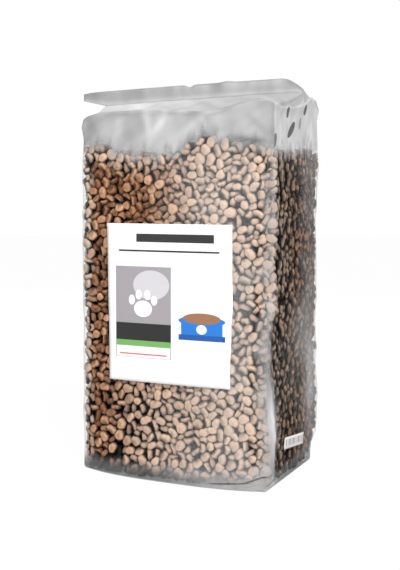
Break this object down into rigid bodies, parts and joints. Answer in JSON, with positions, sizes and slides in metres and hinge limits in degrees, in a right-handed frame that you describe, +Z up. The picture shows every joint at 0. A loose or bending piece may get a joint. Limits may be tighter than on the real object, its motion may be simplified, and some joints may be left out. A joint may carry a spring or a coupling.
{
  "type": "pet food bag",
  "caption": "Clear film block bag packed hard with dry kibble, with tucked side gussets, a fused fin across the top, a paper label on the front and a small code sticker low on one side.",
  "frame": {"origin": "on the flat of the base, midway between the upright creases from side to side and from front to back; the belly of the front panel bulges about 17 mm past them at its foot", "axes": "+Z up; -Y is the side with the paper label, so the label faces -Y; +X is the side with the small code sticker"},
  "size_m": [0.2333, 0.1751, 0.4389],
  "materials": {
    "clear_film": "clear plastic film, faintly milky, glossy, creased",
    "kibble": "baked dry pet food, tan to orange brown, dry and slightly rough",
    "label_paper": null,
    "sticker_paper": "white thermal label paper with plain grey bars"
  },
  "bodies": {
    "root": {"film_bag": "clear_film", "kibble_fill": "kibble", "front_label": "label_paper", "side_label": "sticker_paper"}
  },
  "joints": []
}
